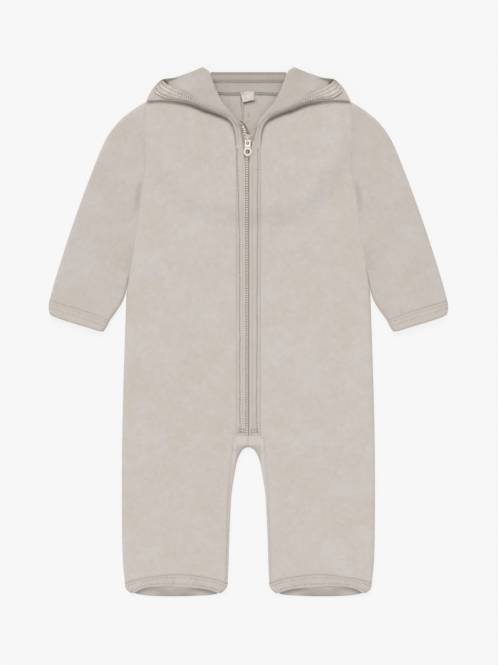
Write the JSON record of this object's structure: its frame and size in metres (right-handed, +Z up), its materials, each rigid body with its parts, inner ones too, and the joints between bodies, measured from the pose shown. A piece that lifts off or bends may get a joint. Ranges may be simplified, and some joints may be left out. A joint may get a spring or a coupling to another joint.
{
  "type": "baby fleece overall with a hood, laid flat",
  "caption": "Hooded baby overall in soft fleece, laid flat on its back, zip closed to the neck, hood folded down behind, banded cuffs and leg ends.",
  "frame": {"origin": "on the table, under the middle of the garment's outline", "axes": "+Z up from the table, +Y from the leg ends to the hood, +X to the right as the front is looked down on"},
  "size_m": [0.4518, 0.5968, 0.0199],
  "materials": {
    "fleece": "matt melange fleece, warm light grey",
    "zip_tape": "woven tape, warm light grey",
    "zip_teeth": "satin beige",
    "metal": "satin pale nickel",
    "label": "pale woven ribbon, bare"
  },
  "bodies": {
    "garment": {"front_left": "fleece", "front_right": "fleece", "back_left": "fleece", "back_right": "fleece", "sleeve_left": "fleece", "sleeve_right": "fleece", "cuff_left": "fleece", "cuff_right": "fleece", "hem_left": "fleece", "hem_right": "fleece", "gusset_left": "fleece", "gusset_right": "fleece", "hood_left": "fleece", "hood_right": "fleece", "hood_band_left": "fleece", "hood_band_right": "fleece", "hood_crown": "fleece", "hood_back": "fleece", "hood_band_back": "fleece", "zip_facing_left": "fleece", "zip_facing_right": "fleece", "zip_underlap": "fleece", "zip_tape_left": "zip_tape", "zip_tape_right": "zip_tape", "zip_chain_left": "zip_teeth", "zip_chain_right": "zip_teeth", "zip_slider": "metal", "label": "label"},
    "pull_tab": {"pull_tab": "metal"}
  },
  "joints": [
    {"name": "pull_tab_hinge", "type": "hinge", "parent": "garment", "child": "pull_tab", "pos_m": [-0.0008, 0.2154, 0.0152], "axis": [-1, 0, 0], "range_deg": [0, 155]}
  ]
}
